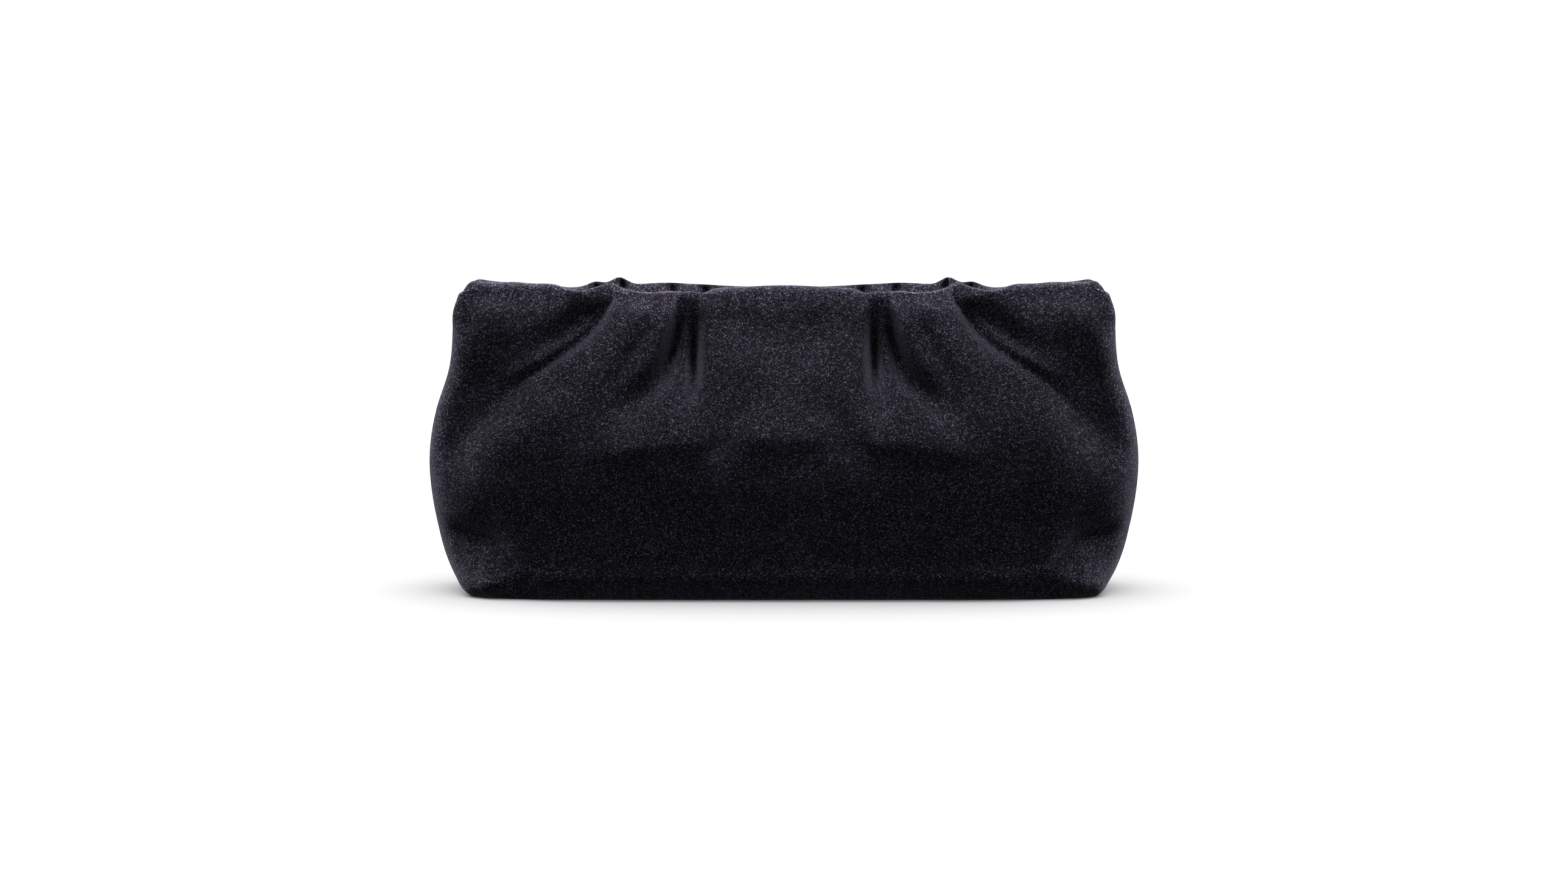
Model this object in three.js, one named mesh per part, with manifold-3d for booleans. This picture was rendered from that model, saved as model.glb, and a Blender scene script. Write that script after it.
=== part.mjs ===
// A soft velvet frame clutch that stands on a flat base, with its mouth slightly open.
// A hidden metal frame runs inside the rolled lips, and the velvet is gathered onto it.
// Millimetres, +Z up, front towards -Y, origin on the ground under the middle of the bag.

import * as THREE from 'three';
import { mergeVertices } from 'three/addons/utils/BufferGeometryUtils.js';
import Module from 'manifold-3d';

const wasm = await Module();
wasm.setup();

// Driving dimensions of the bag.
const bellyHalfWidth = 149.8;
const bellyHalfDepth = 48;
const clothThickness = 1.8;
const seamGap = 0.3;
const baseThickness = 2;

// Driving dimensions of the mouth and of the frame in it.
const mouthGap = 8;
const barRadius = 1.5;
const barClearance = 0.4;
const barHeight = 122.8; // centre of the frame's bars at the middle of the mouth
const barRise = 2.9; // the bars climb this much from the middle to their corners
const barHalfLength = 131;
const frameCornerRadius = 10;
const pivotHeight = 99;
const pivotHalfDepth = 5;
const rollRadius = 5.2;
const lipSlope = THREE.MathUtils.degToRad(31); // where the wall runs into the roll
const barDepth = mouthGap / 2 + rollRadius;
const lipTop = barHeight + rollRadius * Math.sin(lipSlope);
const tightWrap = barRadius + barClearance + clothThickness; // radius of the roll in a pleat

// Driving dimensions of the lips' ends, where the rolls run out over the frame's corners.
const endBeadDepth = 4;
const endTaper = { start: 127, end: 138 };
const endDrop = 4.5;
const endDropStart = 0.9; // share of the way from the middle of the lip to its end
const beadDrop = 9; // how far below the bar the roll merges into the wall
const slitLength = 14; // the side slits open over this height above the pivots

// The bag's outline in level slices, from the base seam up to the lip.
// Squareness is the power of the slice's rounded outline: 2 is an ellipse, 10 nearly a rectangle.
const slices = [
  { height: 0.5, halfWidth: 132.4, halfDepth: 38.5, squareness: 7 },
  { height: 5, halfWidth: 137.6, halfDepth: 43.2, squareness: 5.6 },
  { height: 12, halfWidth: 141.6, halfDepth: 45.8, squareness: 4.5 },
  { height: 30, halfWidth: 146.8, halfDepth: 47.4, squareness: 3.4 },
  { height: 50, halfWidth: bellyHalfWidth, halfDepth: bellyHalfDepth, squareness: 3 },
  { height: 62, halfWidth: 149.6, halfDepth: 46.4, squareness: 3 },
  { height: 76, halfWidth: 147.2, halfDepth: 41.2, squareness: 3 },
  { height: 95, halfWidth: 141.2, halfDepth: 31, squareness: 3.5 },
  { height: 110, halfWidth: 139.6, halfDepth: 21.6, squareness: 5 },
  { height: 118, halfWidth: 139.2, halfDepth: 17.2, squareness: 7 },
  { height: lipTop, halfWidth: 136.8, halfDepth: barDepth + rollRadius * Math.cos(lipSlope), squareness: 10 },
];

// Heights of the rows of the cloth's grid below the roll, closer together where the cloth turns.
const rowHeights = [0.5, 3.5, 8, 15, 22, 29, 38, 52, 62, 71, 79, 86, 93, 100, 107, 113.5, 118.5];
const rollPoints = 6;
const columnCount = 56;
const columnDensity = { centre: 0.3, spread: 0.2, extra: 1.4 }; // finer columns at the pleats

// Folds as seen from the front, each mirrored about the middle: the stations of a smooth path.
// A station has its place across and up, the fold's half-width and its depth, out of the bag if positive.
const cornerDent = [
  { x: 141, z: 29, width: 6, depth: -3 },
  { x: 132, z: 27, width: 8, depth: -5.6 },
  { x: 121, z: 23, width: 8, depth: -4.4 },
  { x: 109, z: 13, width: 7, depth: -0.6 },
];
const cornerPuff = [
  { x: 131, z: 8, width: 5, depth: 1.4 },
  { x: 123, z: 9, width: 5.5, depth: 2.4 },
  { x: 113, z: 12, width: 5.5, depth: 0.8 },
];
const baseRoll = [
  { x: 0, z: 9.5, width: 4.8, depth: 2 },
  { x: 90, z: 9.5, width: 4.8, depth: 1.8 },
  { x: 104, z: 8, width: 4, depth: 0.6 },
];
const drawnInEnd = [
  { x: 122, z: 100, width: 8, depth: -0.4 },
  { x: 132, z: 84, width: 9, depth: -2 },
  { x: 135, z: 75, width: 10, depth: -4.4 },
  { x: 138, z: 56, width: 10, depth: -1.4 },
];
const frontFolds = [
  cornerDent,
  cornerPuff,
  baseRoll,
  drawnInEnd,
  // the upright arm of the deep pleat, which hangs from the bar
  [
    { x: 37.5, z: 130, width: 4, depth: -2.4 },
    { x: 37.4, z: 110, width: 4.4, depth: -4.8 },
    { x: 37.7, z: 99, width: 4.6, depth: -10 },
    { x: 38.2, z: 92, width: 5, depth: -9 },
    { x: 39.5, z: 80, width: 6, depth: -0.8 },
  ],
  // the slanting arm of the pleat
  [
    { x: 43, z: 130, width: 4, depth: -2.4 },
    { x: 46, z: 112, width: 4.6, depth: -4.6 },
    { x: 49.5, z: 99, width: 5, depth: -9 },
    { x: 56, z: 88, width: 6, depth: -5.4 },
    { x: 66, z: 79, width: 7, depth: -2.8 },
    { x: 75, z: 71, width: 8, depth: -0.6 },
  ],
  // the ridge beside the pleat
  [
    { x: 48, z: 126, width: 4, depth: 1.6 },
    { x: 58, z: 97, width: 5, depth: 1.2 },
  ],
  // the long crease, which leaves the lip upright and sweeps out to the side
  [
    { x: 72, z: 132, width: 4, depth: -2 },
    { x: 76, z: 117.5, width: 4, depth: -4.4 },
    { x: 89, z: 104, width: 4.2, depth: -4 },
    { x: 103, z: 95.5, width: 4.6, depth: -3.2 },
    { x: 122, z: 78, width: 7, depth: -0.4 },
  ],
  // the hollow beyond that crease
  [
    { x: 79, z: 130, width: 6, depth: -1.8 },
    { x: 87, z: 115, width: 7, depth: -5 },
    { x: 97, z: 107, width: 6.5, depth: -4 },
    { x: 110, z: 100, width: 7, depth: -0.8 },
  ],
  // the big roll between pleat and crease
  [
    { x: 57, z: 116, width: 8, depth: 3 },
    { x: 84, z: 90, width: 11, depth: 2.2 },
    { x: 110, z: 70, width: 15, depth: 2 },
  ],
  // bulges of the belly under the pleat and in the middle, with a hollow between them
  [
    { x: 40, z: 67, width: 10, depth: 2.4 },
    { x: 56, z: 65, width: 10, depth: 2.8 },
    { x: 72, z: 62, width: 9, depth: 1.8 },
  ],
  [
    { x: 0, z: 67, width: 10, depth: 2.2 },
    { x: 12, z: 69, width: 9, depth: 1.4 },
  ],
  [
    { x: 15, z: 86, width: 6, depth: -1 },
    { x: 20, z: 77, width: 7, depth: -2.4 },
    { x: 27, z: 66, width: 7, depth: -1.6 },
  ],
  // the hollow under the middle of the lip
  [
    { x: 0, z: 113, width: 11, depth: -3.6 },
    { x: 16, z: 113, width: 10, depth: -3 },
  ],
];
const backFolds = [
  cornerDent,
  cornerPuff,
  baseRoll,
  drawnInEnd,
  // three pleats that fan out from the lip, with a roll beside each of two
  [
    { x: 26, z: 130, width: 4, depth: -2.4 },
    { x: 27, z: 112, width: 4.4, depth: -4.6 },
    { x: 29.5, z: 99, width: 4.8, depth: -8 },
    { x: 34, z: 82, width: 6.5, depth: -0.8 },
  ],
  [
    { x: 42, z: 118, width: 8, depth: 2.2 },
    { x: 54, z: 84, width: 12, depth: 1.2 },
  ],
  [
    { x: 60, z: 130, width: 4, depth: -2.4 },
    { x: 63, z: 112, width: 4.4, depth: -4.6 },
    { x: 69, z: 99, width: 5, depth: -7 },
    { x: 78, z: 88, width: 6, depth: -3.6 },
    { x: 88, z: 79, width: 7.5, depth: -0.8 },
  ],
  [
    { x: 80, z: 116, width: 8, depth: 2 },
    { x: 106, z: 80, width: 13, depth: 1.6 },
  ],
  [
    { x: 96, z: 130, width: 4.6, depth: -2 },
    { x: 102, z: 112, width: 5, depth: -4 },
    { x: 110, z: 101, width: 5.5, depth: -3 },
    { x: 120, z: 90, width: 7, depth: -0.4 },
  ],
  // bulges of the belly under the pleats and in the middle
  [
    { x: 20, z: 70, width: 9, depth: 0.6 },
    { x: 40, z: 67, width: 11, depth: 2.2 },
    { x: 66, z: 65, width: 10, depth: 1.4 },
    { x: 90, z: 63, width: 10, depth: 1.8 },
  ],
  [
    { x: 0, z: 68, width: 11, depth: 1.4 },
    { x: 10, z: 69, width: 9, depth: 1 },
  ],
  // the hollow under the middle of the lip
  [
    { x: 0, z: 112, width: 11, depth: -2.2 },
    { x: 10, z: 112, width: 10, depth: -1.8 },
  ],
];
const seamFade = 0.82; // folds run out between this share of the way round and the side seam

// Bunches of velvet that stand up on the lips and dips between them, each mirrored about the middle.
const frontBunches = [
  { x: 0, width: 22, lift: 1.6 },
  { x: 35, width: 4, lift: -1.4 },
  { x: 43, width: 4, lift: -0.8 },
  { x: 73, width: 5, lift: 1.6 },
  { x: 87, width: 6, lift: -1.2 },
  { x: 98, width: 6, lift: 0.4 },
  { x: 113, width: 8, lift: 0.8 },
  { x: 134, width: 5, lift: 2.6 },
];
const backBunches = [
  { x: 0, width: 9, lift: 0.4 },
  { x: 30, width: 12, lift: 0.6 },
  { x: 50, width: 14, lift: 1.4 },
  { x: 70, width: 5, lift: 3.2 },
  { x: 80, width: 5, lift: 1.2 },
  { x: 92, width: 8, lift: -1.4 },
  { x: 112, width: 9, lift: -0.8 },
  { x: 134, width: 5, lift: 2.4 },
];

const { lerp, smoothstep, clamp } = THREE.MathUtils;
const bell = (distance, width) => Math.exp(-((distance / width) ** 2));

// Half-width, half-depth and squareness at any height, smooth through the slices.
const sliceAt = new THREE.CubicInterpolant(
  slices.map((slice) => slice.height),
  slices.flatMap((slice) => [slice.halfWidth, slice.halfDepth, slice.squareness]),
  3,
);

// Half the width of the slit between the front and back panels at a given height.
function slitHalfWidth(height) {
  return lerp(seamGap / 2, mouthGap / 2, smoothstep(height, pivotHeight + 4, pivotHeight + 4 + slitLength));
}

// The front half of a level slice, from the left side seam round the front to the right one.
function frontOutline(height) {
  const [halfWidth, halfDepth, squareness] = sliceAt.evaluate(height);
  const slit = slitHalfWidth(height);
  const points = [];
  const steps = 48;
  for (let i = -steps; i <= steps; i++) {
    const along = Math.abs(i) / steps;
    const near = along ** (squareness / 2);
    const far = (1 - along) ** (squareness / 2);
    const angle = ((Math.PI / 2) * near) / (near + far);
    const x = Math.sign(i) * halfWidth * Math.sin(angle) ** (2 / squareness);
    const y = -slit - (halfDepth - slit) * Math.max(0, Math.cos(angle)) ** (2 / squareness);
    points.push(new THREE.Vector2(x, y));
  }
  return new THREE.SplineCurve(points);
}

// The stations of a fold on a smooth path, in steps that are short beside its width.
function smoothStations(stations) {
  const path = new THREE.CubicInterpolant(
    stations.map((station, i) => i),
    stations.flatMap((station) => [station.x, station.z, station.width, station.depth]),
    4,
  );
  const stepsEach = 5;
  const steps = stepsEach * (stations.length - 1);
  const smooth = [];
  for (let i = 0; i <= steps; i++) {
    const [x, z, width, depth] = path.evaluate(i / stepsEach);
    smooth.push({ place: new THREE.Vector2(x, z), width, depth });
  }
  return smooth;
}

// How far the folds push the cloth out at a point seen from the front.
function foldDepth(folds, x, z) {
  const point = new THREE.Vector2(Math.abs(x), z);
  let total = 0;
  for (const smooth of folds) {
    let nearest = Infinity;
    let depth = 0;
    for (let i = 1; i < smooth.length; i++) {
      const [from, to] = [smooth[i - 1], smooth[i]];
      const run = to.place.clone().sub(from.place);
      const offset = point.clone().sub(from.place);
      const share = clamp(offset.dot(run) / run.lengthSq(), 0, 1);
      const distance = offset.clone().addScaledVector(run, -share).length();
      const reach = distance / lerp(from.width, to.width, share);
      if (reach < nearest) {
        nearest = reach;
        depth = lerp(from.depth, to.depth, share) * bell(reach, 1);
      }
    }
    total += depth;
  }
  return total;
}

function bunchLift(bunches, x) {
  return bunches.reduce((sum, bunch) => sum + bunch.lift * bell(Math.abs(x) - bunch.x, bunch.width), 0);
}

// Height of the frame's bar over a place across the mouth.
const barHeightAt = (x) => barHeight + barRise * (x / barHalfLength) ** 2;

// Shares of the way round a slice at which the columns of the cloth's grid stand, from 0 to 1.
function columnShares() {
  const { centre, spread, extra } = columnDensity;
  const samples = 600;
  const sums = [0];
  for (let i = 0; i < samples; i++) {
    const place = Math.abs((2 * (i + 0.5)) / samples - 1);
    sums.push(sums[i] + 1 + extra * bell(place - centre, spread));
  }
  const shares = [];
  for (let column = 0; column < columnCount; column++) {
    const wanted = (sums[samples] * column) / (columnCount - 1);
    const i = Math.min(samples - 1, sums.findLastIndex((sum) => sum <= wanted));
    shares.push((i + (wanted - sums[i]) / (sums[i + 1] - sums[i])) / samples);
  }
  return shares;
}

// A level of the cloth's grid: its height and the outline of the slice there.
const levelAt = (height) => ({ height, outline: frontOutline(height) });

// Profile of one column: up the outer face, over the roll and down the inner face.
// Its first half and its second half have the same number of points and pair up across the wall.
function columnProfile(share, levels, folds, bunches) {
  const toEnd = Math.abs(2 * share - 1);
  const lipPoint = levels.lip.outline.getPointAt(share);
  const barZ = barHeightAt(lipPoint.x) - endDrop * smoothstep(toEnd, endDropStart, 1);
  const taper = smoothstep(Math.abs(lipPoint.x), endTaper.start, endTaper.end);
  const radius = lerp(rollRadius, endBeadDepth / 2, taper);
  const foldShare = 1 - smoothstep(toEnd, seamFade, 1);
  const wallAt = ({ height, outline }) => {
    const place = outline.getPointAt(share);
    const tangent = outline.getTangentAt(share);
    const outward = new THREE.Vector2(tangent.y, -tangent.x);
    const z = (height / barHeight) * barZ;
    const beside = Math.sqrt(Math.max(0, tightWrap ** 2 - (z - barZ) ** 2));
    let push = foldShare * foldDepth(folds, place.x, z);
    if (beside > 0 && Math.abs(place.x) < endTaper.start) {
      push = Math.max(push, place.y + barDepth + beside); // the cloth stops at the bar
    }
    return { face: place.clone().addScaledVector(outward, push), outward, z };
  };
  const lip = wallAt(levels.lip);
  const innerLip = lipPoint.clone().addScaledVector(lip.outward, -radius * (1 + Math.cos(lipSlope)));
  const outer = [];
  const inner = [];
  for (const level of levels.wall) {
    const { face, outward, z } = wallAt(level);
    const bead = Math.sqrt(Math.max(0, 1 - ((barHeight - level.height) / beadDrop) ** 2));
    const back = face.clone().addScaledVector(outward, -clothThickness).lerp(innerLip, bead);
    outer.push(new THREE.Vector3(face.x, face.y, z));
    inner.unshift(new THREE.Vector3(back.x, back.y, z));
  }
  outer.push(new THREE.Vector3(lip.face.x, lip.face.y, lip.z));
  inner.unshift(new THREE.Vector3(innerLip.x, innerLip.y, barZ));
  const lift = bunchLift(bunches, lipPoint.x) * (1 - taper / 2);
  const over = [];
  for (let i = 1; i <= rollPoints; i++) {
    const angle = lerp(lipSlope, Math.PI, i / (rollPoints + 1));
    const across = (Math.cos(lipSlope) - Math.cos(angle)) / (1 + Math.cos(lipSlope));
    const { x, y } = lip.face.clone().lerp(innerLip, across);
    const rise = radius * Math.sin(angle) + lift * Math.sin(Math.PI * across) ** 0.7;
    over.push(new THREE.Vector3(x, y, barZ + rise));
  }
  return [...outer, ...over, ...inner];
}

// A closed body through equal profiles in order, with both ends covered across the wall.
// The facets' diagonals rise towards the middle on both faces, as the folds do.
function loft(profiles) {
  const size = profiles[0].length;
  const last = profiles.length - 1;
  const at = (column, k) => column * size + (k % size);
  const index = [];
  for (let column = 0; column < last; column++) {
    for (let k = 0; k < size; k++) {
      const [a, b, c, d] = [at(column, k), at(column + 1, k), at(column + 1, k + 1), at(column, k + 1)];
      const splitFromFirst = column < last / 2 === k < size / 2;
      index.push(...(splitFromFirst ? [a, b, c, a, c, d] : [a, b, d, b, c, d]));
    }
  }
  for (let k = 0; k < size / 2 - 1; k++) {
    const partner = size - 1 - k;
    index.push(at(0, k), at(0, k + 1), at(0, partner - 1));
    index.push(at(0, k), at(0, partner - 1), at(0, partner));
    index.push(at(last, k), at(last, partner - 1), at(last, k + 1));
    index.push(at(last, k), at(last, partner), at(last, partner - 1));
  }
  return new THREE.BufferGeometry().setFromPoints(profiles.flat()).setIndex(index);
}

// A closed geometry as a solid for joins and cuts, and back again.
function solidFrom(geometry) {
  const bare = geometry.clone();
  bare.deleteAttribute('normal');
  bare.deleteAttribute('uv');
  const merged = mergeVertices(bare, 1e-4);
  return new wasm.Manifold(
    new wasm.Mesh({
      numProp: 3,
      vertProperties: new Float32Array(merged.attributes.position.array),
      triVerts: new Uint32Array(merged.index.array),
    }),
  );
}

function geometryFrom(solid) {
  const { vertProperties, triVerts } = solid.getMesh();
  const geometry = new THREE.BufferGeometry();
  geometry.setAttribute('position', new THREE.BufferAttribute(new Float32Array(vertProperties), 3));
  geometry.setIndex(new THREE.BufferAttribute(new Uint32Array(triVerts), 1));
  geometry.computeVertexNormals();
  return geometry;
}

// The U of the front half of the frame: up from one pivot, along the lip and down to the other.
function frameHalf(radius) {
  const corner = barHalfLength - frameCornerRadius;
  const cornerHeight = barHeightAt(corner);
  const half = [new THREE.Vector3(barHalfLength, -pivotHalfDepth, pivotHeight)];
  for (let i = 0; i <= 3; i++) {
    const angle = (Math.PI / 6) * i;
    const x = corner + frameCornerRadius * Math.cos(angle);
    const z = cornerHeight - frameCornerRadius * (1 - Math.sin(angle));
    half.push(new THREE.Vector3(x, -barDepth, z));
  }
  for (const share of [0.66, 0.33]) {
    half.push(new THREE.Vector3(corner * share, -barDepth, barHeightAt(corner * share)));
  }
  const middle = new THREE.Vector3(0, -barDepth, barHeight);
  const mirrored = half.map((point) => new THREE.Vector3(-point.x, point.y, point.z)).reverse();
  const path = new THREE.CatmullRomCurve3([...half, middle, ...mirrored]);
  const sides = 6;
  const ring = [];
  for (let i = 0; i < sides; i++) {
    const angle = (2 * Math.PI * i) / sides;
    ring.push(new THREE.Vector2(radius * Math.cos(angle), radius * Math.sin(angle)));
  }
  const options = { steps: 32, bevelEnabled: false, extrudePath: path };
  return new THREE.ExtrudeGeometry(new THREE.Shape(ring), options);
}

// Both halves of the frame and the pins that join their lower ends, as one body.
function hingeFrame() {
  const front = solidFrom(frameHalf(barRadius));
  const back = solidFrom(frameHalf(barRadius).rotateZ(Math.PI));
  let frame = front.add(back);
  for (const side of [-1, 1]) {
    const pin = new THREE.CylinderGeometry(barRadius + 0.6, barRadius + 0.6, 2 * pivotHalfDepth + 4, 10);
    frame = frame.add(solidFrom(pin.translate(side * barHalfLength, 0, pivotHeight + 1)));
  }
  return geometryFrom(frame);
}

// A gathered panel facing -Y, with the channel for the frame's bar cut through its rolled lip.
function gatheredPanel(folds, bunches) {
  const levels = { wall: rowHeights.map(levelAt), lip: levelAt(lipTop) };
  const smoothFolds = folds.map(smoothStations);
  const profiles = columnShares().map((share) => columnProfile(share, levels, smoothFolds, bunches));
  const channel = solidFrom(frameHalf(barRadius + barClearance));
  return geometryFrom(solidFrom(loft(profiles)).subtract(channel));
}

// The flat base, which fits inside the lower edges of both panels and has their facets.
function baseGeometry() {
  const outline = frontOutline(slices[0].height);
  const inset = clothThickness + seamGap;
  const strips = columnShares().slice(1, -1).map((share) => {
    const tangent = outline.getTangentAt(share);
    const inward = new THREE.Vector2(-tangent.y, tangent.x);
    const { x, y } = outline.getPointAt(share).addScaledVector(inward, inset);
    const corners = [[y, 0], [y, baseThickness], [-y, baseThickness], [-y, 0]];
    return corners.map(([depth, height]) => new THREE.Vector3(x, depth, height));
  });
  return loft(strips);
}

const velvet = new THREE.MeshStandardMaterial({ color: 0x17151b, roughness: 0.95, metalness: 0 });
const frameSteel = new THREE.MeshStandardMaterial({ color: 0x8d8d90, roughness: 0.35, metalness: 1 });

function namedMesh(name, geometry, material) {
  const mesh = new THREE.Mesh(geometry, material);
  mesh.name = name;
  return mesh;
}

const clutch = new THREE.Group();
clutch.add(namedMesh('front_panel', gatheredPanel(frontFolds, frontBunches), velvet));
const backPanel = namedMesh('back_panel', gatheredPanel(backFolds, backBunches), velvet);
backPanel.rotation.z = Math.PI;
clutch.add(backPanel);
clutch.add(namedMesh('base_panel', baseGeometry(), velvet));
clutch.add(namedMesh('hinge_frame', hingeFrame(), frameSteel));

export default clutch;
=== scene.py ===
# Velvet frame clutch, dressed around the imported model. Metres, +Z up, front towards -Y.
import math

import bpy
import numpy as np
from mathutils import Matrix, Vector


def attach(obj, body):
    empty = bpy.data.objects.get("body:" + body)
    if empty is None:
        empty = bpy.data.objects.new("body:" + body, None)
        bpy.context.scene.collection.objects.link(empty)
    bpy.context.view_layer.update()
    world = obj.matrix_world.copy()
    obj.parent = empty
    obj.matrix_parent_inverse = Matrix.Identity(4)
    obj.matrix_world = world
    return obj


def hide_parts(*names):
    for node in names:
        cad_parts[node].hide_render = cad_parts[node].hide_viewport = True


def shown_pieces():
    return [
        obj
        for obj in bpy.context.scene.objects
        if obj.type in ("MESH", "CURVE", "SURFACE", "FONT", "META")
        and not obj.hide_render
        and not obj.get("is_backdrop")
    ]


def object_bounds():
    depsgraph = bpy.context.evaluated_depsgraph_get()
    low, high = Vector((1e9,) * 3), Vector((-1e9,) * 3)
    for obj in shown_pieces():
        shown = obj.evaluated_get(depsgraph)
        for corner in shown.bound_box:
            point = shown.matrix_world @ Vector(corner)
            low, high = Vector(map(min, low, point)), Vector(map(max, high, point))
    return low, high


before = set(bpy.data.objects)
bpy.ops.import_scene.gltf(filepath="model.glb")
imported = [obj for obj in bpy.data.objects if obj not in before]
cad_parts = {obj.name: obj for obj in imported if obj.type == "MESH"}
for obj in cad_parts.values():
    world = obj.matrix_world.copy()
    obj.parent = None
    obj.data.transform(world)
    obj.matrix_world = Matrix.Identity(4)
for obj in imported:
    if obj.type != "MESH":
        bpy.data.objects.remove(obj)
cadLow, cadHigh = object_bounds()
root = "root"
mm = 0.001
scene = bpy.context.scene
print("frame loaded:", ", ".join(sorted(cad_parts)))


# Camera, at the height and distance of a product shot with a long lens

shot = {
    "lens": 85.0,
    "sensor": 36.0,
    "imageWidth": 2576,
    "bagPixels": 1161,  # the bag's width in the image
    "elevation": 5.0,
    "aimHeight": 0.0630,
}


def placeCamera():
    data = bpy.data.cameras.new("camera")
    data.lens = shot["lens"]
    data.sensor_width = shot["sensor"]
    camera = bpy.data.objects.new("camera", data)
    scene.collection.objects.link(camera)
    viewWidth = (cadHigh.x - cadLow.x) * shot["imageWidth"] / shot["bagPixels"]
    distance = viewWidth * shot["lens"] / shot["sensor"]
    lift = math.radians(shot["elevation"])
    back = Vector((0, -math.cos(lift), math.sin(lift)))
    camera.location = Vector((0, 0, shot["aimHeight"])) + back * distance
    camera.rotation_euler = (-back).to_track_quat("-Z", "Y").to_euler()
    scene.camera = camera
    print("camera at", round(distance, 3), "m")


placeCamera()


# Shader helper: a socket that takes part in Python expressions

class Wire:
    def __init__(self, tree, socket=None):
        self.tree = tree
        self.socket = socket

    def node(self, kind, settings, values, output=0):
        made = self.tree.nodes.new(kind)
        for name, value in settings.items():
            setattr(made, name, value)
        for key, value in values.items():
            if isinstance(value, Wire):
                self.tree.links.new(value.socket, made.inputs[key])
            else:
                made.inputs[key].default_value = value
        return Wire(self.tree, made.outputs[output])

    def calc(self, operation, first, second):
        return self.node("ShaderNodeMath", {"operation": operation}, {0: first, 1: second})

    def __add__(self, other):
        return self.calc("ADD", self, other)

    def __sub__(self, other):
        return self.calc("SUBTRACT", self, other)

    def __rsub__(self, other):
        return self.calc("SUBTRACT", other, self)

    def __mul__(self, other):
        return self.calc("MULTIPLY", self, other)

    def __pow__(self, other):
        return self.calc("POWER", self, other)

    def __rpow__(self, other):
        return self.calc("POWER", other, self)

    __radd__ = __add__
    __rmul__ = __mul__


def newMaterial(name):
    material = bpy.data.materials.new(name)
    material.use_nodes = True
    tree = material.node_tree
    surface = tree.nodes["Principled BSDF"]
    return material, Wire(tree), surface


def feed(wire, surface, socket):
    wire.tree.links.new(wire.socket, surface.inputs[socket])


# Velvet: a near-black pile with a violet-grey sheen, grainy from tufts of random tone, with painted
# glints on the brightest tufts and a painted sheen along the front lip

velvetLook = {
    "pile": (0.0174, 0.0159, 0.0219),
    "tuftsPerMetre": 2600,
    "tuftDetail": 2.0,
    # tone of the dullest tufts, span of most, extra of the bright ones, which are painted glints,
    # and how few those are
    "tone": (0.12, 1.14, 5.4, 12.0),
    "napPerMetre": 55,
    "napDetail": 3.0,
    "napTone": (0.7, 0.6),  # where the nap lies flattest, and the span above that
    # painted sheen along the front lip: colour made lighter where light falls along the lip, from
    # and to what height, and how much lighter
    "lipPaintedSheen": (0.117, 0.126, 0.42),
    "lipFront": (0.0, -0.003),  # it sets in between these places on the way from back to front
    "roughness": 0.65,
    "specular": 0.0,
    "sheen": 0.14,
    "sheenRoughness": 0.3,
    "sheenTint": (0.80, 0.76, 0.97, 1),
    "bump": 0.9,
    "bumpDepth": 0.00035,
}


def velvetMaterial():
    look = velvetLook
    material, w, surface = newMaterial("velvet")
    place = w.node("ShaderNodeTexCoord", {}, {}, "Object")
    tuftSize = {"Vector": place, "Scale": look["tuftsPerMetre"]}
    tufts = w.node("ShaderNodeTexVoronoi", {}, tuftSize, "Color")
    tuft = w.node("ShaderNodeSeparateColor", {}, {0: tufts}, 0)
    napSize = {"Vector": place, "Scale": look["napPerMetre"], "Detail": look["napDetail"]}
    nap = w.node("ShaderNodeTexNoise", {}, napSize)
    pileSize = {"Vector": place, "Scale": look["tuftsPerMetre"], "Detail": look["tuftDetail"]}
    pile = w.node("ShaderNodeTexNoise", {}, pileSize)
    dull, span, extra, rarity = look["tone"]
    flat, napSpan = look["napTone"]
    # random tone from tuft to tuft, real grain, with the rare bright tufts as painted glints
    tone = (dull + tuft * span + tuft**rarity * extra) * (flat + nap * napSpan)
    # painted sheen: the front side of the lip is lighter in colour, standing in for the light that
    # falls along it
    low, high, lighter = look["lipPaintedSheen"]
    z = w.node("ShaderNodeSeparateXYZ", {}, {0: place}, 2)
    lip = w.node("ShaderNodeMapRange", {}, {"Value": z, "From Min": low, "From Max": high})
    start, full = look["lipFront"]
    y = w.node("ShaderNodeSeparateXYZ", {}, {0: place}, 1)
    front = w.node("ShaderNodeMapRange", {}, {"Value": y, "From Min": start, "From Max": full})
    tone = tone * (1 + front * lip * lighter)
    colour = w.node("ShaderNodeVectorMath", {"operation": "SCALE"}, {0: look["pile"], "Scale": tone})
    feed(colour, surface, "Base Color")
    surface.inputs["Roughness"].default_value = look["roughness"]
    raised = {"Strength": look["bump"], "Distance": look["bumpDepth"], "Height": pile}
    feed(w.node("ShaderNodeBump", {}, raised), surface, "Normal")
    surface.inputs["Sheen Weight"].default_value = look["sheen"]
    surface.inputs["Sheen Roughness"].default_value = look["sheenRoughness"]
    surface.inputs["Sheen Tint"].default_value = look["sheenTint"]
    surface.inputs["Specular IOR Level"].default_value = look["specular"]
    return material


velvet = velvetMaterial()


# Woven back of the velvet, which shows inside the bag

backingLook = {
    "dark": (0.0040, 0.0037, 0.0050, 1),
    "light": (0.0120, 0.0110, 0.0140, 1),
    "threadsPerMetre": 1400,
    "threadsAtScaleOne": 6.3,  # threads to the metre that a wave texture draws at a scale of 1
    "wander": 0.6,
    "wanderScale": 2.0,
    "roughness": 0.85,
    "specular": 0.08,
    "bump": 0.5,
    "bumpDepth": 0.0002,
}


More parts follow.
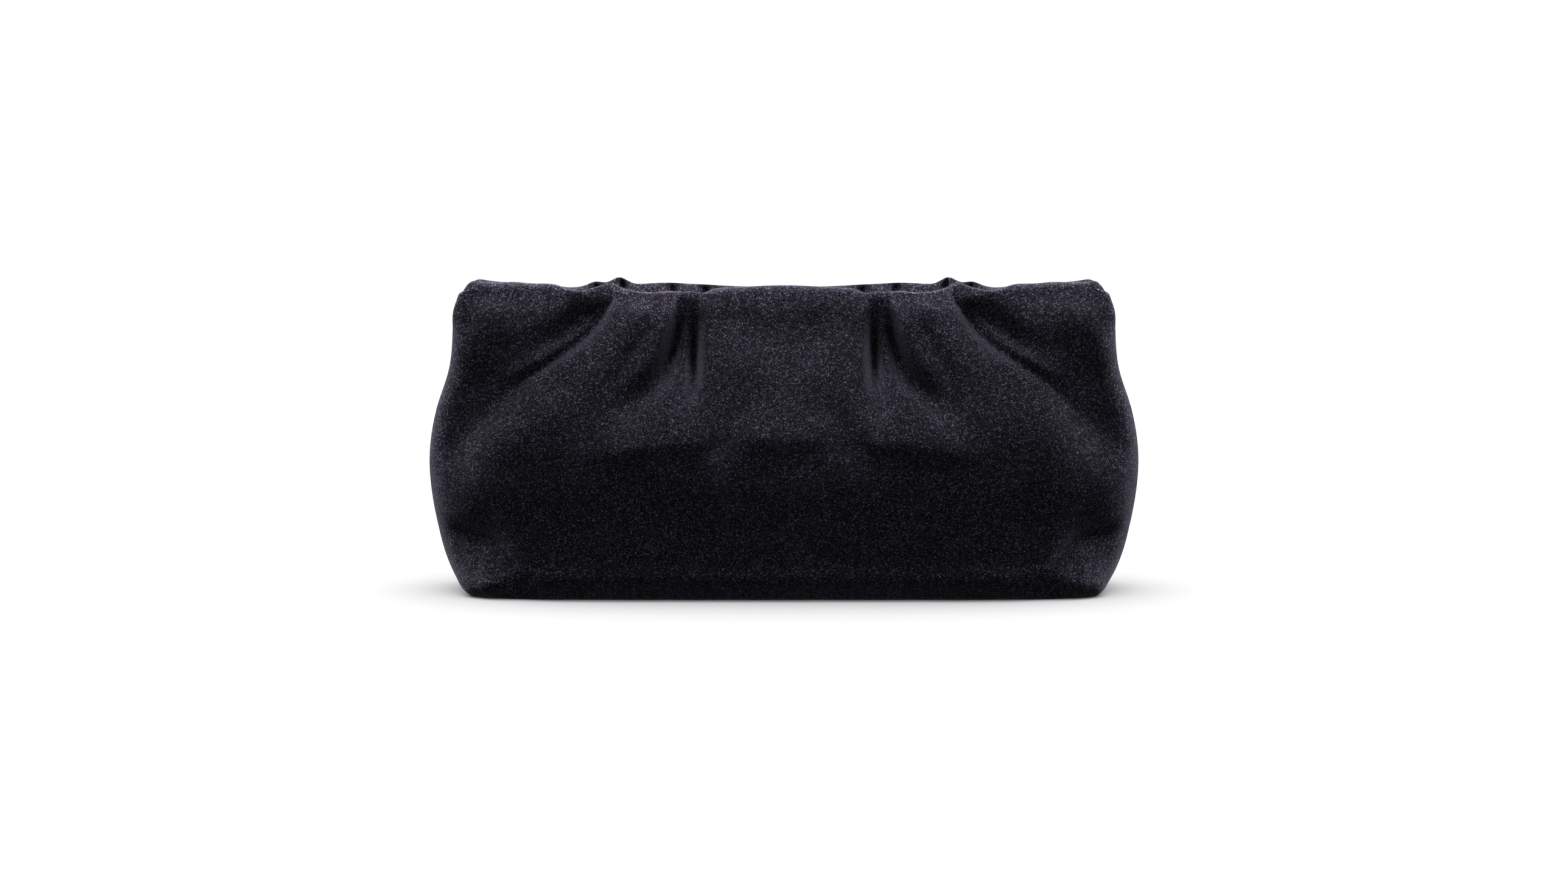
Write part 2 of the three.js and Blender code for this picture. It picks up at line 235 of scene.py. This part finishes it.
def backingMaterial():
    look = backingLook
    material, w, surface = newMaterial("backing")
    place = w.node("ShaderNodeTexCoord", {}, {}, "Object")
    scale = look["threadsPerMetre"] / look["threadsAtScaleOne"]
    waves = {"Vector": place, "Scale": scale}
    waves |= {"Distortion": look["wander"], "Detail Scale": look["wanderScale"]}
    weft = w.node("ShaderNodeTexWave", {"bands_direction": "X"}, waves)
    warp = w.node("ShaderNodeTexWave", {"bands_direction": "Z"}, waves)
    weave = weft * warp
    shades = {0: weave, 6: look["dark"], 7: look["light"]}
    colour = w.node("ShaderNodeMix", {"data_type": "RGBA"}, shades, 2)
    feed(colour, surface, "Base Color")
    surface.inputs["Roughness"].default_value = look["roughness"]
    surface.inputs["Specular IOR Level"].default_value = look["specular"]
    raised = {"Strength": look["bump"], "Distance": look["bumpDepth"], "Height": weave}
    feed(w.node("ShaderNodeBump", {}, raised), surface, "Normal")
    return material


backing = backingMaterial()


# Plated steel of the hidden frame, with faint draw marks

steelLook = {
    "dark": (0.42, 0.42, 0.44, 1),
    "light": (0.62, 0.62, 0.63, 1),
    "marksPerMetre": 900,
    "marksDetail": 3.0,
    "marksDrawn": (0.05, 1, 1),  # drawn out along the bars
    "roughness": (0.26, 0.44),
}


def steelMaterial():
    look = steelLook
    material, w, surface = newMaterial("frame_steel")
    place = w.node("ShaderNodeTexCoord", {}, {}, "Object")
    drawn = w.node("ShaderNodeMapping", {}, {"Vector": place, "Scale": look["marksDrawn"]})
    marksSize = {"Vector": drawn, "Scale": look["marksPerMetre"], "Detail": look["marksDetail"]}
    marks = w.node("ShaderNodeTexNoise", {}, marksSize)
    shades = {0: marks, 6: look["dark"], 7: look["light"]}
    colour = w.node("ShaderNodeMix", {"data_type": "RGBA"}, shades, 2)
    smooth, rough = look["roughness"]
    feed(colour, surface, "Base Color")
    feed(smooth * (1 - marks) + rough * marks, surface, "Roughness")
    surface.inputs["Metallic"].default_value = 1.0
    return material


steel = steelMaterial()
print("materials:", velvet.name, backing.name, steel.name)


# Shape of the cloth, in millimetres

bag = {
    "clothThickness": 1.8,
    "seamGap": 0.03,
    "mouthGap": 8.0,
    "barRadius": 1.5,
    "barClearance": 0.35,
    "barHeight": 122.8,
    "barRise": 2.9,  # at its ends
    "barHalfLength": 131.0,
    "pivotHeight": 99.0,
    "rollRadius": 5.2,
    "lipSlope": 31.0,  # degrees round the bar at which the outer face runs into the roll
    "endBeadDepth": 4.0,  # of the roll at the ends of the lip
    "endTaper": (127.0, 138.0),  # places across between which the roll narrows to that
    "endDrop": 4.5,  # how far the ends of the lip hang down
    "endDropStart": 0.9,  # share of the way to a side seam at which that begins
    "beadDrop": 9.0,  # how far below the bar the inside of the roll runs back to the wall
    "slitStart": 4.0,  # above the pivots
    "slitLength": 14.0,
    "seamFade": (0.83, 0.96),  # shares of the way to a side seam between which the folds fade
    "seamPull": (1.0, 2.2),  # how deep the side seams are drawn in, and over what width
    "pucker": (0.22, 7.5, 13.0),  # small gathers at the lips: height, length, reach downwards
    "puckerSway": (0.8, 17.0),  # and how unevenly they are spaced
    "slack": 0.14,
    "slackWaves": (9, 16, 48),  # how many, and the shortest and longest
    "bunchShape": (1.4, 0.7),  # powers that give a bunch its shape across the lip
    "tuckAngle": (142.0, 30.0),  # degrees round the lip at which the tucks lie, and their spread
    "seed": 11,
}
roll = bag["rollRadius"]
lipSlope = math.radians(bag["lipSlope"])
barDepth = bag["mouthGap"] / 2 + roll
lipTop = bag["barHeight"] + roll * math.sin(lipSlope)
tightWrap = bag["barRadius"] + bag["barClearance"] + bag["clothThickness"]

# level slices from the base seam to the lip: height, half-width, half-depth, squareness
slices = np.array([
    (0.5, 132.4, 38.5, 7.0),
    (5.0, 137.6, 43.2, 5.6),
    (12.0, 141.6, 45.8, 4.5),
    (30.0, 146.8, 47.4, 3.4),
    (50.0, 149.8, 48.0, 3.0),
    (62.0, 149.6, 46.4, 3.0),
    (76.0, 147.2, 41.2, 3.0),
    (95.0, 141.2, 31.0, 3.5),
    (110.0, 139.6, 21.6, 5.0),
    (118.0, 139.2, 17.2, 7.0),
    (lipTop, 136.8, barDepth + roll * math.cos(lipSlope), 10.0),
])

grid = {
    "columns": 340,
    "innerRows": 56,
    "rollPoints": 20,
    # where columns stand closer: by how much, at what share of the way to a seam, over what width
    "atPleats": (1.2, 0.35, 0.25),
    "atSeams": (4.0, 1.0, 0.02),
    "shareSteps": 4001,
    "outlineSteps": 400,
    "outwardReach": 0.004,  # share of the way round over which an outward direction is taken
    "stationSteps": 6,  # straight pieces between two stations of a fold
}
wallRows = 2 * grid["innerRows"] - 1

# folds, mirrored about the middle: sharpness, skew, then stations across, up, width, depth
frontFolds = [
    # the pleat: an upright and a slanting arm, which hang from the bar, and the wedge between
    (2, 0, [
        (38, 130, 3.2, -2), (37.6, 120, 3.2, -4.7), (37.4, 110, 3.2, -9.8), (37.6, 104, 3.2, -13.4),
        (37.8, 98, 3.2, -16), (38, 94, 3.2, -16), (38.3, 90, 3.4, -12.5), (38.8, 86, 4, -7),
        (39.5, 81, 5, -2),
    ]),
    (2, 0, [
        (42.5, 130, 3.2, -2), (43.4, 120, 3.2, -4.7), (44.6, 112, 3.3, -8.7), (46.4, 104, 3.6, -13),
        (48.6, 98, 4, -13.5), (51.5, 93, 4.5, -10.5), (56, 88, 5, -7), (61, 83.5, 5.5, -5.2),
        (67, 78, 6, -3.8), (75, 71, 7, -1),
    ]),
    (2, 0, [
        (40.5, 116, 4, -1), (41.5, 106, 4.5, -3), (43, 98, 5, -5), (45, 91, 6, -3), (47, 84, 7, 0),
    ]),
    (2, 0, [(46.5, 126, 2.2, 1), (49.5, 114, 2.4, 1.4), (53, 104, 3, 1.2), (58, 95, 4, 0.6)]),
    # the faint crease on the roll
    (1.5, 0, [(53, 121, 3, -1.4), (62, 105, 3.4, -2), (72, 84, 5, -0.8)]),
    # the long crease, which leaves the lip upright and sweeps out to the side
    (1.6, 0.2, [
        (72.6, 132, 3, -2.4), (73.4, 124, 3, -4.5), (76, 117.5, 3, -6), (81.5, 110, 3, -6),
        (89, 104, 3, -5.4), (99, 97.5, 3, -4.4), (110, 91, 3.4, -2.6), (119, 82, 6, -0.6),
    ]),
    # the rope-like ridge above it and the hollow beyond
    (2, 0, [
        (81, 115, 2, 0.8), (87, 109, 2.2, 1.8), (99, 101, 2.4, 2.2), (108, 95.5, 2.6, 1.8),
        (117, 89, 4, 0.6),
    ]),
    (2, 0, [
        (77, 130, 5, -2), (81, 121, 5.5, -5), (87, 114, 6, -6.6), (95, 108, 6, -6),
        (103, 104, 6, -3.2), (112, 100, 6, -1),
    ]),
    # the bead under the lip, fuller between the pleat and the crease and at the ends
    (2, -0.5, [
        (0, 120, 9, 1.4), (26, 120, 9, 1), (52, 119, 9, 2.6), (68, 119, 9, 2.6), (84, 119, 9, 0.2),
        (104, 119, 9, 1.2), (120, 119, 9, 2.6), (132, 118, 9, 1),
    ]),
    # the full upper ends and the valley below them, where that crease runs out to the side
    (2, 0, [
        (111, 114, 8, 0.4), (121, 113, 9, 1.6), (129, 109, 10, 2.4), (134, 101, 10, 2.4),
        (138, 89, 9, 1.4),
    ]),
    (1.5, 0, [
        (108, 92, 7, -1), (118, 84, 11, -3.2), (128, 74, 13, -5), (138, 65, 13, -4.4),
        (146, 60, 11, -2.4),
    ]),
    # the big roll between pleat and crease
    (2, 0, [(57, 116, 8, 3.6), (66, 107, 9, 3.4), (84, 90, 11, 2.2), (110, 70, 15, 1.8)]),
    # bulges of the belly under the pleat and in the middle, with hollows between
    (2, 0.5, [
        (30, 69, 8, 1), (42, 66.5, 10, 3.8), (56, 64.5, 10, 4.4), (68, 62.5, 9, 3.6),
        (78, 60, 8, 0.8),
    ]),
    (2, 0.4, [(-8, 67, 10, 2.6), (0, 67, 10, 2.6), (12, 69, 8, 1.8)]),
    (2, 0, [(0, 111, 11, -2), (16, 111, 10, -1.8)]),
    (2, 0, [(22, 104, 7, 1.2), (12, 92, 9, 1.4)]),
    (2, 0, [(15, 86, 6, -1), (20, 77, 7, -2.6), (27, 66, 7, -2)]),
    # each bottom corner: the dent, the flattened corner below it and the crease along its foot
    (1.15, 0.5, [
        (144, 26.5, 10, -7), (134, 26.5, 12, -10), (125, 25, 11, -8.4), (117, 19.5, 9, -5.4),
        (111, 13, 6, -2.4), (107.5, 8, 5, -0.4),
    ]),
    (2, 0, [
        (138, 3, 5, 2), (130, 3, 6, 3.2), (122, 4.5, 6, 3.4), (114, 8, 5, 2.4), (108, 11, 4, 0.6),
    ]),
    (2, 0, [(128, 0, 3, -1.2), (120, 1.5, 3, -1.8), (112, 5, 3, -2.2), (105, 8, 3, -0.8)]),
    # the roll along the base
    (2, 0, [(0, 9.5, 4.4, 3), (90, 9.5, 4.2, 2.8), (104, 8, 3, 0.6)]),
]
backFolds = [
    # three plain gathers
    (2, 0, [
        (26, 130, 3.2, -2), (26.4, 120, 3.2, -4.7), (27.2, 111, 3.3, -8.4), (28.6, 103, 3.6, -10.4),
        (30.2, 96, 4, -8.6), (32, 89, 5, -4), (34, 82, 6, -1),
    ]),
    (2, 0, [
        (60, 130, 3.2, -2), (61, 120, 3.2, -4.7), (63, 111, 3.5, -8), (66.5, 103, 4, -9.2),
        (71, 96, 4.6, -7), (78, 88, 5.6, -4.4), (88, 79, 7, -1.2),
    ]),
    (2, 0, [
        (96, 130, 4, -2), (98, 121, 4, -4.4), (102, 112, 4.4, -6.4), (108, 104, 5, -5.6),
        (116, 95, 6, -3), (125, 85, 8, -0.8),
    ]),
    # the rolls between them and the bulges of the belly below
    (2, 0, [(42, 118, 8, 2.4), (47, 100, 10, 2), (54, 84, 12, 1)]),
    (2, 0, [(80, 116, 8, 2.2), (92, 98, 10, 1.8), (106, 80, 13, 1.4)]),
    (2, 0.3, [
        (20, 70, 9, 0.6), (33, 67.5, 11, 2.6), (50, 66, 11, 2.8), (66, 65, 10, 1.4),
        (82, 64, 10, 2.2), (98, 62, 10, 0.6),
    ]),
    (2, 0.3, [(-8, 68, 11, 1.6), (0, 68, 11, 1.6), (10, 69, 9, 1)]),
    (2, 0, [(0, 112, 11, -2.4), (10, 112, 10, -2)]),
    # the drawn-in ends, the dented bottom corners and the roll along the base
    (2, 0, [
        (124, 96, 10, -3), (130, 85, 10, -5), (134, 75, 10, -6), (136, 67, 9, -4.6),
        (138, 58, 9, -2.2), (139, 48, 10, -0.6),
    ]),
    (1.25, 0.4, [
        (144, 27, 10, -5), (132, 26.5, 11, -7), (121, 23, 11, -5.8), (113.5, 16, 8, -3),
        (109, 9, 6, -0.6),
    ]),
    (2, 0, [(134, 6, 6, 1.4), (126, 7, 7, 2.2), (117, 10, 6, 1.6), (111, 13, 5, 0.6)]),
    (2, 0, [(0, 9.5, 4.4, 2.2), (90, 9.5, 4.2, 2), (104, 8, 3, 0.6)]),
]

# bunches on the lips: place across, width, lift
frontBunches = [
    (0, 22, 1.6), (35, 4, -2.8), (43, 4, -1.8), (57, 9, -2.7), (73, 4, 1.8),
    (87, 6, -2.8), (98, 6, 0.6), (113, 8, 0.8), (133.5, 3.8, 3),
]
backBunches = [
    (0, 9, 0.4), (30, 12, 0.6), (50, 14, 1.4), (70, 4.5, 3.2),
    (80, 4, 1.4), (91, 7, -2.2), (112, 9, -0.8), (134, 5, 2.4),
]

# tucks under the crest of the back lip, on the mouth's side: place across, width, depth
backTucks = [(33, 4, 6.6), (47.5, 3.6, 6.6), (68.5, 3.4, 7), (79.5, 3.6, 6.4)]


def mix(a, b, share):
    return a + (b - a) * share


def smoothStep(value, low, high):
    t = np.clip((value - low) / (high - low), 0, 1)
    return t * t * (3 - 2 * t)


def bell(distance, width):
    return np.exp(-((distance / width) ** 2))


# smooth curve through the rows of a table
def through(t, values, at):
    slope = np.diff(values, axis=0) / np.diff(t)[:, None]
    tangent = np.vstack([slope[:1], (slope[1:] + slope[:-1]) / 2, slope[-1:]])
    i = np.clip(np.searchsorted(t, at, side="right") - 1, 0, len(t) - 2)
    step = (t[i + 1] - t[i])[:, None]
    p = (at - t[i])[:, None] / step
    return (
        (2 * p**3 - 3 * p**2 + 1) * values[i] + (p**3 - 2 * p**2 + p) * step * tangent[i]
        + (3 * p**2 - 2 * p**3) * values[i + 1] + (p**3 - p**2) * step * tangent[i + 1]
    )


def slitHalfWidth(heights):
    start = bag["pivotHeight"] + bag["slitStart"]
    opened = smoothStep(heights, start, start + bag["slitLength"])
    return mix(bag["seamGap"] / 2, bag["mouthGap"] / 2, opened)


# places and outward directions round the front half of each level slice
def frontOutlines(heights, shares):
    along = np.linspace(-1, 1, 2 * grid["outlineSteps"] + 1)
    places = np.zeros((len(heights), len(shares), 2))
    outward = np.zeros_like(places)
    slits = slitHalfWidth(heights)
    outlines = through(slices[:, 0], slices[:, 1:], heights)
    for row, (halfWidth, halfDepth, squareness) in enumerate(outlines):
        near = np.abs(along) ** (squareness / 2)
        far = (1 - np.abs(along)) ** (squareness / 2)
        angle = np.pi / 2 * near / (near + far)
        x = np.sign(along) * halfWidth * np.sin(angle) ** (2 / squareness)
        y = -slits[row] - (halfDepth - slits[row]) * np.maximum(np.cos(angle), 0) ** (2 / squareness)
        walked = np.concatenate([[0], np.cumsum(np.hypot(np.diff(x), np.diff(y)))])
        at = shares * walked[-1]
        places[row, :, 0] = np.interp(at, walked, x)
        places[row, :, 1] = np.interp(at, walked, y)
        step = grid["outwardReach"] * walked[-1]
        before = np.clip(at - step, 0, walked[-1])
        after = np.clip(at + step, 0, walked[-1])
        tangentX = np.interp(after, walked, x) - np.interp(before, walked, x)
        tangentY = np.interp(after, walked, y) - np.interp(before, walked, y)
        size = np.hypot(tangentX, tangentY)
        outward[row, :, 0] = tangentY / size
        outward[row, :, 1] = -tangentX / size
    return places, outward


# how far the folds push the cloth out
def foldDepth(folds, x, z):
    total = np.zeros_like(x)
    x = np.abs(x)
    for sharpness, skew, stations in folds:
        stations = np.array(stations, float)
        count = len(stations)
        steps = grid["stationSteps"] * (count - 1)
        path = through(np.arange(count), stations, np.linspace(0, count - 1, steps + 1))
        nearest = np.full(x.shape, np.inf)
        depth = np.zeros_like(x)
        for (x0, z0, width0, depth0), (x1, z1, width1, depth1) in zip(path, path[1:]):
            runX, runZ = x1 - x0, z1 - z0
            length = math.hypot(runX, runZ)
            offX, offZ = x - x0, z - z0
            share = np.clip((offX * runX + offZ * runZ) / length**2, 0, 1)
            distance = np.hypot(offX - share * runX, offZ - share * runZ) + 1e-6  # never nought
            lean = (runX * offZ - runZ * offX) / (length * distance)
            reach = distance / (mix(width0, width1, share) * (1 + skew * lean))
            closer = reach < nearest
            nearest = np.where(closer, reach, nearest)
            depth = np.where(closer, mix(depth0, depth1, share) * np.exp(-(reach**sharpness)), depth)
        total += depth
    return total


# slight unevenness of the slack cloth, from a few seeded waves, and small gathers at the lips
def unevenness(x, z):
    rng = np.random.default_rng(bag["seed"])
    total = np.zeros_like(x)
    count, shortest, longest = bag["slackWaves"]
    headings = rng.uniform(0, np.pi, count)
    lengths = rng.uniform(shortest, longest, count)
    phases = rng.uniform(0, 6.28, count)
    for heading, length, phase in zip(headings, lengths, phases):
        along = (x * math.cos(heading) + z * math.sin(heading)) / length
        total += bag["slack"] * np.sin(2 * np.pi * along + phase)
    height, length, reach = bag["pucker"]
    sway, swayLength = bag["puckerSway"]
    gather = np.sin(2 * np.pi * (x / length + sway * np.sin(x / swayLength)))
    return total + height * gather * np.exp(-np.maximum(0, lipTop - z) / reach)


# shares of the way round at which the columns stand, closer at the pleats and the side seams
def columnShares():
    place = np.linspace(-1, 1, grid["shareSteps"])
    density = np.ones_like(place)
    for closer, centre, width in (grid["atPleats"], grid["atSeams"]):
        density += closer * bell(np.abs(place) - centre, width)
    walked = np.cumsum(density)
    walked = (walked - walked[0]) / (walked[-1] - walked[0])
    return np.interp(np.linspace(0, 1, grid["columns"]), walked, (place + 1) / 2)


# what a row of bunches or tucks adds up to at each place across
def bunched(bunches, x):
    total = np.zeros_like(x)
    for place, width, size in bunches:
        total += size * bell(np.abs(x) - place, width)
    return total


def barHeightAt(x):
    return bag["barHeight"] + bag["barRise"] * (x / bag["barHalfLength"]) ** 2


# Closed rings of points, one for each column: up the outer face, over the roll, down the inner face
def panelRings(folds, bunches, tucks):
    shares = columnShares()
    toEnd = np.abs(2 * shares - 1)
    lipPlaces, lipOutward = frontOutlines(np.array([lipTop]), shares)
    lipX = lipPlaces[0, :, 0]
    barZ = barHeightAt(lipX) - bag["endDrop"] * smoothStep(toEnd, bag["endDropStart"], 1)
    taper = smoothStep(np.abs(lipX), *bag["endTaper"])
    radius = mix(roll, bag["endBeadDepth"] / 2, taper)
    foldShare = 1 - smoothStep(toEnd, *bag["seamFade"])
    pullDepth, pullWidth = bag["seamPull"]

    def wall(heights):
        places, outward = frontOutlines(heights, shares)
        z = heights[:, None] / bag["barHeight"] * barZ[None, :]
        arc = np.hypot(*np.diff(places, axis=1).transpose(2, 0, 1)).sum(axis=1)[:, None]
        push = foldShare * (foldDepth(folds, places[:, :, 0], z) + unevenness(places[:, :, 0], z))
        push -= pullDepth * bell((1 - toEnd) / 2 * arc, pullWidth)
        beside = np.sqrt(np.maximum(0, tightWrap**2 - (z - barZ) ** 2))
        room = -places[:, :, 1] - barDepth - beside  # before the cloth meets the bar
        besideBar = (beside > 0) & (np.abs(places[:, :, 0]) < bag["endTaper"][0])
        return places, outward, z, np.where(besideBar, np.maximum(push, -room), push)

    places, outward, z, push = wall(np.linspace(slices[0, 0], lipTop, wallRows))
    outer = np.dstack([places + outward * push[:, :, None], z])
    heights = np.linspace(slices[0, 0], bag["barHeight"], grid["innerRows"])
    places, outward, z, push = wall(heights)
    below = (bag["barHeight"] - heights) / bag["beadDrop"]
    bead = np.sqrt(np.maximum(0, 1 - below**2))[:, None, None]
    innerLip = lipPlaces[0] - lipOutward[0] * (radius * (1 + math.cos(lipSlope)))[:, None]
    plain = places + outward * (push - bag["clothThickness"])[:, :, None]
    inner = np.dstack([mix(plain, innerLip[None], bead), z])
    lift = bunched(bunches, lipX) * (1 - taper / 2)
    tuck = lipOutward[0] * bunched(tucks, lipX)[:, None]
    lean, fullness = bag["bunchShape"]
    tuckAngle, tuckSpread = bag["tuckAngle"]
    over = []
    for angle in np.linspace(lipSlope, math.pi, grid["rollPoints"] + 2)[1:-1]:
        share = (math.cos(lipSlope) - math.cos(angle)) / (1 + math.cos(lipSlope))
        level = mix(outer[-1], inner[-1], share)
        crest = math.sin(math.pi * share**lean) ** fullness
        level[:, 2] = barZ + radius * math.sin(angle) + lift * crest
        level[:, :2] += tuck * bell(math.degrees(angle) - tuckAngle, tuckSpread)
        over.append(level)
    return np.vstack([outer, np.array(over), inner[::-1]])


def finishedObject(name, points, faces, materials):
    mesh = bpy.data.meshes.new(name)
    mesh.from_pydata(points.tolist(), [], faces)
    for material in materials:
        mesh.materials.append(material)
    mesh.polygons.foreach_set("use_smooth", np.ones(len(mesh.polygons), bool))
    mesh.update()
    piece = bpy.data.objects.new(name, mesh)
    scene.collection.objects.link(piece)
    return piece


def panelObject(name, folds, bunches, tucks, turned):
    rings = panelRings(folds, bunches, tucks) * mm
    if turned:
        rings[:, :, :2] *= -1
    size, columns = rings.shape[:2]
    points = rings.transpose(1, 0, 2).reshape(-1, 3)
    innerStart = wallRows + grid["rollPoints"] + 3  # rings from here on are the inner face
    faces, inside = [], []
    for column in range(columns - 1):
        a, b = column * size, (column + 1) * size
        for k in range(size):
            n = (k + 1) % size
            faces.append((a + k, b + k, b + n, a + n))
            inside.append(k >= innerStart)
    # both ends are covered across the wall, two outer rows to each inner one
    for first, step in ((0, 1), ((columns - 1) * size, -1)):
        caps = [tuple(first + k for k in range(wallRows - 1, size - grid["innerRows"] + 1))]
        for row in range(grid["innerRows"] - 1):
            a, b = 2 * row, size - 1 - row
            caps.append(tuple(first + k for k in (a, a + 1, a + 2, b - 1, b)))
        faces += [cap[::step] for cap in caps]
        inside += [False] * len(caps)
    piece = finishedObject(name, points, faces, [velvet, backing])
    piece.data.polygons.foreach_set("material_index", np.array(inside, np.int32))
    return piece


for name, node, folds, bunches, tucks, turned in (
    ("front_velvet", "front_panel", frontFolds, frontBunches, [], False),
    ("back_velvet", "back_panel", backFolds, backBunches, backTucks, True),
):
    piece = panelObject(name, folds, bunches, tucks, turned)
    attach(piece, root)
    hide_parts(node)
    print(name, len(piece.data.polygons), "faces")


# Base, a stiffened oval of the same velvet between the lower edges of the panels

base = {
    "thickness": 2.0,
    "gap": 0.3,
    "edgeRadius": 0.8,
    "edgeSteps": 9,
    "halfDepth": 36.0,  # about, to turn the rounding of the edge into a share
    "points": 240,
    "rings": 9,
    "innermost": 0.02,  # the smallest ring, as a share of the outline
}


def baseObject():
    places, outward = frontOutlines(slices[:1, 0], np.linspace(0, 1, base["points"] // 2 + 1))
    edge = places[0] - outward[0] * (bag["clothThickness"] + base["gap"])
    edge[:, 1] = np.minimum(edge[:, 1], 0)
    half = edge[1:-1]
    loop = np.vstack([half, -half])
    points, radius = [], base["edgeRadius"]
    inwards = np.linspace(1, base["innermost"], base["rings"])
    profile = [(share, 0.0) for share in inwards[:0:-1]]
    for angle in np.linspace(-np.pi / 2, np.pi / 2, base["edgeSteps"]):
        height = radius * (1 + math.sin(angle)) + (base["thickness"] - 2 * radius) * (angle > 0)
        profile.append((1 - radius * (1 - math.cos(angle)) / base["halfDepth"], height))
    profile += [(share, base["thickness"]) for share in inwards[1:]]
    for share, height in profile:
        points.append(np.column_stack([loop * share, np.full(len(loop), height)]))
    count = len(loop)
    faces = []
    for ring in range(len(profile) - 1):
        a, b = ring * count, (ring + 1) * count
        for k in range(count):
            n = (k + 1) % count
            faces.append((a + k, a + n, b + n, b + k))
    faces.append(tuple(range(count))[::-1])
    faces.append(tuple(range((len(profile) - 1) * count, len(profile) * count)))
    return finishedObject("base_velvet", np.vstack(points) * mm, faces, [velvet])


piece = baseObject()
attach(piece, root)
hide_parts("base_panel")
print("base_velvet", len(piece.data.polygons), "faces")

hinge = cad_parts["hinge_frame"]
hinge.data.materials.clear()
hinge.data.materials.append(steel)


# Stage and light

studio = {
    "floorSize": 8.0,
    "floorColour": (0.9, 0.9, 0.9, 1),
    "floorRoughness": 0.9,
    "floorLight": 2.6,
    "floorLightAngle": 120.0,
    "sky": 0.5,
    "ground": 0.16,
    "horizon": 0.3,  # how far above and below level they run into each other
}
lamps = {
    "bagMiddle": (0, 0, 0.06),
    "lipMiddle": (0, 0, 0.12),
    "overheadPlace": (0, 0.04, 0.85),
    "overheadSize": (0.5, 0.3),
    "overheadPower": 12,
    "topDistance": 0.5,
    "topHeight": 0.8,
    "topSize": (1.0, 0.3),
    "topTint": (1, 0.88, 0.9),
    "sideOut": 0.9,
    "sideDistance": 0.45,
    "sideSize": (0.5, 0.5),
}
# each panel has lamps of its own beyond the other panel, one along its lip and one for each end
panelLamps = {
    "front_velvet": {"beyond": 1, "topPower": 8, "sideHeight": 0.5, "sidePower": 41},
    "back_velvet": {"beyond": -1, "topPower": 2, "sideHeight": 0.25, "sidePower": 35},
}


def stage():
    half = studio["floorSize"] / 2
    corners = [(-half, -half, 0), (half, -half, 0), (half, half, 0), (-half, half, 0)]
    mesh = bpy.data.meshes.new("floor")
    mesh.from_pydata(corners, [], [(0, 1, 2, 3)])
    floor = bpy.data.objects.new("floor", mesh)
    floor.visible_diffuse = False  # it throws no light back at the bag
    floor.visible_glossy = False
    ground = bpy.data.collections.new("ground")
    scene.collection.children.link(ground)
    ground.objects.link(floor)
    material, _, surface = newMaterial("floor")
    surface.inputs["Base Color"].default_value = studio["floorColour"]
    surface.inputs["Roughness"].default_value = studio["floorRoughness"]
    mesh.materials.append(material)
    floor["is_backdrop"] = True
    data = bpy.data.lights.new("floor_light", "SUN")
    data.energy = studio["floorLight"]
    data.angle = math.radians(studio["floorLightAngle"])
    light = bpy.data.objects.new("floor_light", data)
    light.light_linking.receiver_collection = ground
    scene.collection.objects.link(light)


# a white room to look at, which lights the bag softly and more from above
def room():
    world = bpy.data.worlds.new("studio")
    world.use_nodes = True
    tree = world.node_tree
    w = Wire(tree)
    soft = tree.nodes["Background"]
    soft.inputs["Color"].default_value = (1, 1, 1, 1)
    heading = w.node("ShaderNodeTexCoord", {}, {}, "Generated")
    up = w.node("ShaderNodeSeparateXYZ", {}, {0: heading}, 2)
    horizon = {"Value": up, "From Min": -studio["horizon"], "From Max": studio["horizon"]}
    strengths = {"To Min": studio["ground"], "To Max": studio["sky"]}
    feed(w.node("ShaderNodeMapRange", {}, {**horizon, **strengths}), soft, "Strength")
    white = w.node("ShaderNodeBackground", {}, {"Color": (1, 1, 1, 1)})
    seen = w.node("ShaderNodeLightPath", {}, {}, "Is Camera Ray")
    both = w.node("ShaderNodeMixShader", {}, {0: seen, 1: Wire(tree, soft.outputs[0]), 2: white})
    feed(both, tree.nodes["World Output"], "Surface")
    scene.world = world


def softbox(name, place, target, size, power, lit, tint=(1, 1, 1)):
    data = bpy.data.lights.new(name, "AREA")
    data.shape = "RECTANGLE"
    data.size, data.size_y = size
    data.energy = power
    data.color = tint
    light = bpy.data.objects.new(name, data)
    light.location = place
    light.rotation_euler = (Vector(target) - Vector(place)).to_track_quat("-Z", "Y").to_euler()
    light.light_linking.receiver_collection = lit
    scene.collection.objects.link(light)


# pieces that a lamp reaches
def litGroup(name, pieces):
    group = bpy.data.collections.new(name)
    scene.collection.children.link(group)
    for piece in pieces:
        group.objects.link(piece)
    return group


stage()
room()
clutch = litGroup("clutch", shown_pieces())
place, size = lamps["overheadPlace"], lamps["overheadSize"]
softbox("overhead", place, lamps["bagMiddle"], size, lamps["overheadPower"], clutch)
for name, lamp in panelLamps.items():
    panel = litGroup(name + "_lit", [bpy.data.objects[name]])
    beyond = lamp["beyond"]
    place, size = (0, lamps["topDistance"] * beyond, lamps["topHeight"]), lamps["topSize"]
    softbox("beyond", place, lamps["lipMiddle"], size, lamp["topPower"], panel, lamps["topTint"])
    for side in (-1, 1):
        place = (lamps["sideOut"] * side, lamps["sideDistance"] * beyond, lamp["sideHeight"])
        softbox("side", place, lamps["bagMiddle"], lamps["sideSize"], lamp["sidePower"], panel)
scene.view_settings.view_transform = "Standard"
print("stage and lights set")
